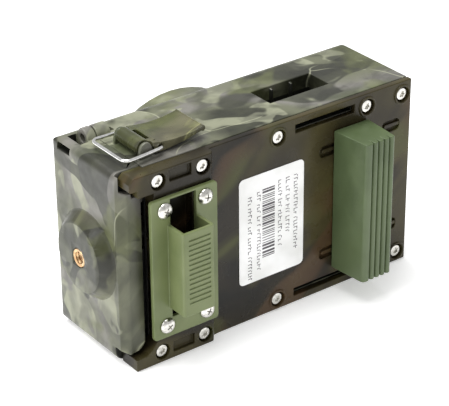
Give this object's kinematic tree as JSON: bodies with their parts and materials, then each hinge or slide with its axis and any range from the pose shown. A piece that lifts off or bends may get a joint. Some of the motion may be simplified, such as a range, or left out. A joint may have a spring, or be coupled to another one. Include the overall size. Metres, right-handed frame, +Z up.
{
  "type": "trail camera",
  "caption": "Camouflaged trail camera lying on its long side, with hinged end cap, wire latch, strap loop, tree brace, lens turret, control deck and battery drawer.",
  "frame": {"origin": "middle of the overall box, at its lowest level (the long side the camera rests on)", "axes": "+X along the camera from the hinged end cap to the other end; +Y from the rear panel to the lens side; +Z up, from the hinge side to the latch side"},
  "size_m": [0.145, 0.076, 0.0885],
  "materials": {
    "camo_plastic": "satin printed reed camouflage on moulded plastic",
    "dark_camo_plastic": "glossy dark brown and olive camouflage on moulded plastic",
    "sage_plastic": "satin moulded sage green plastic",
    "screw_steel": "bright steel",
    "chrome_wire": "bright plated wire",
    "brass": "turned brass",
    "black_plastic": "fine textured black plastic",
    "seal_rubber": "matt rubber",
    "label_paper": "white plastic film label",
    "circuit_board": "green solder mask",
    "lens_glass": "dark coated lens",
    "smoked_window": "smoked infrared window",
    "frosted_dome": "frosted white plastic",
    "cell_skin": "plain printed sleeve",
    "screen": "dark screen",
    "status_light": "red light cap"
  },
  "bodies": {
    "root": {"front_shell": "camo_plastic", "rear_shell": "dark_camo_plastic", "rear_screw_1": "screw_steel", "rear_screw_2": "screw_steel", "rear_screw_3": "screw_steel", "rear_screw_4": "screw_steel", "rear_screw_5": "screw_steel", "rear_screw_6": "screw_steel", "rear_screw_7": "screw_steel", "rear_screw_8": "screw_steel", "rear_screw_9": "screw_steel", "rear_screw_10": "screw_steel", "hinge_pin": "screw_steel", "latch_pin": "screw_steel", "strap_plate": "sage_plastic", "plate_screw_1": "screw_steel", "plate_screw_2": "screw_steel", "plate_screw_3": "screw_steel", "plate_screw_4": "screw_steel", "tree_brace": "sage_plastic", "rear_label": "label_paper", "mouth_seal": "seal_rubber", "control_deck": "black_plastic", "lcd_screen": "screen", "usb_socket": "screw_steel", "av_socket": "black_plastic", "dc_socket": "black_plastic", "main_board": "circuit_board", "lens_hood": "black_plastic", "lens_glass": "lens_glass", "lens_barrel": "black_plastic", "image_board": "circuit_board", "sensor_lens": "frosted_dome", "motion_sensor": "screw_steel", "status_light": "status_light", "led_window": "smoked_window", "led_board": "circuit_board"},
    "end_cap": {"end_cap": "camo_plastic", "tripod_insert": "brass"},
    "latch_lever": {"latch_lever": "camo_plastic"},
    "latch_bail": {"latch_bail": "chrome_wire"},
    "battery_tray": {"battery_tray": "black_plastic", "battery_1": "cell_skin", "battery_2": "cell_skin", "battery_3": "cell_skin", "battery_4": "cell_skin", "battery_5": "cell_skin", "battery_6": "cell_skin", "battery_7": "cell_skin", "battery_8": "cell_skin"},
    "memory_card": {"memory_card": "black_plastic"},
    "mode_switch": {"mode_switch": "frosted_dome"},
    "key_1": {"key_1": "seal_rubber"},
    "key_2": {"key_2": "seal_rubber"},
    "key_3": {"key_3": "seal_rubber"},
    "key_4": {"key_4": "seal_rubber"},
    "key_5": {"key_5": "seal_rubber"}
  },
  "joints": [
    {"name": "cap_hinge", "type": "hinge", "parent": "root", "child": "end_cap", "pos_m": [-0.0625, 0.0033, 0.003], "axis": [0, -1, 0], "range_deg": [0, 95]},
    {"name": "lever_pivot", "type": "hinge", "parent": "root", "child": "latch_lever", "pos_m": [-0.0499, -0.0033, 0.0854], "axis": [0, -1, 0], "range_deg": [0, 115]},
    {"name": "bail_pivot", "type": "hinge", "parent": "latch_lever", "child": "latch_bail", "pos_m": [-0.0435, -0.0033, 0.0847], "axis": [0, 1, 0], "range_deg": [0, 138]},
    {"name": "tray_slide", "type": "slide", "parent": "root", "child": "battery_tray", "axis": [-1, 0, 0], "range_m": [0, 0.007]},
    {"name": "card_slide", "type": "slide", "parent": "root", "child": "memory_card", "axis": [-1, 0, 0], "range_m": [0, 0.009]},
    {"name": "mode_slide", "type": "slide", "parent": "root", "child": "mode_switch", "axis": [0, 1, 0], "range_m": [0, 0.004]},
    {"name": "press_key_1", "type": "slide", "parent": "root", "child": "key_1", "axis": [1, 0, 0], "range_m": [0, 0.0008], "stiffness_N_per_m": 300},
    {"name": "press_key_2", "type": "slide", "parent": "root", "child": "key_2", "axis": [1, 0, 0], "range_m": [0, 0.0008], "stiffness_N_per_m": 300},
    {"name": "press_key_3", "type": "slide", "parent": "root", "child": "key_3", "axis": [1, 0, 0], "range_m": [0, 0.0008], "stiffness_N_per_m": 300},
    {"name": "press_key_4", "type": "slide", "parent": "root", "child": "key_4", "axis": [1, 0, 0], "range_m": [0, 0.0008], "stiffness_N_per_m": 300},
    {"name": "press_key_5", "type": "slide", "parent": "root", "child": "key_5", "axis": [1, 0, 0], "range_m": [0, 0.0008], "stiffness_N_per_m": 300}
  ],
  "couplings": [
    {"joint": "bail_pivot", "follows": "lever_pivot", "ratio": 1.2}
  ]
}
